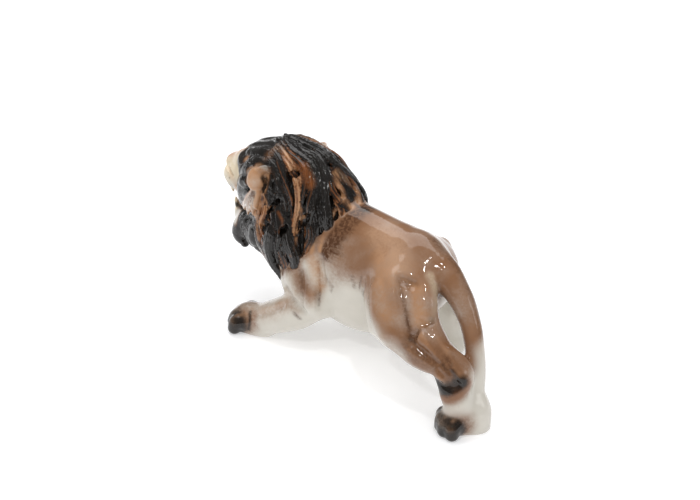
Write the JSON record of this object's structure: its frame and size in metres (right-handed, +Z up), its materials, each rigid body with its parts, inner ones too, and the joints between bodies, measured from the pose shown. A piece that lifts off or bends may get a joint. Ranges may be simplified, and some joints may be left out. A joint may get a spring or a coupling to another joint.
{
  "type": "lion figurine",
  "caption": "Glazed porcelain lion, striding with its head turned ahead, mouth open and mane combed back; the tail curls down and joins the rear paw.",
  "frame": {"origin": "on the ground plane, under the centre of the figure's bounding box", "axes": "+X points from the lion's head to its tail, +Y to its right side, +Z up from the foot undersides"},
  "size_m": [0.3252, 0.1416, 0.1756],
  "materials": {
    "porcelain": "gloss glaze"
  },
  "bodies": {
    "root": {"lion": "porcelain"}
  },
  "joints": []
}
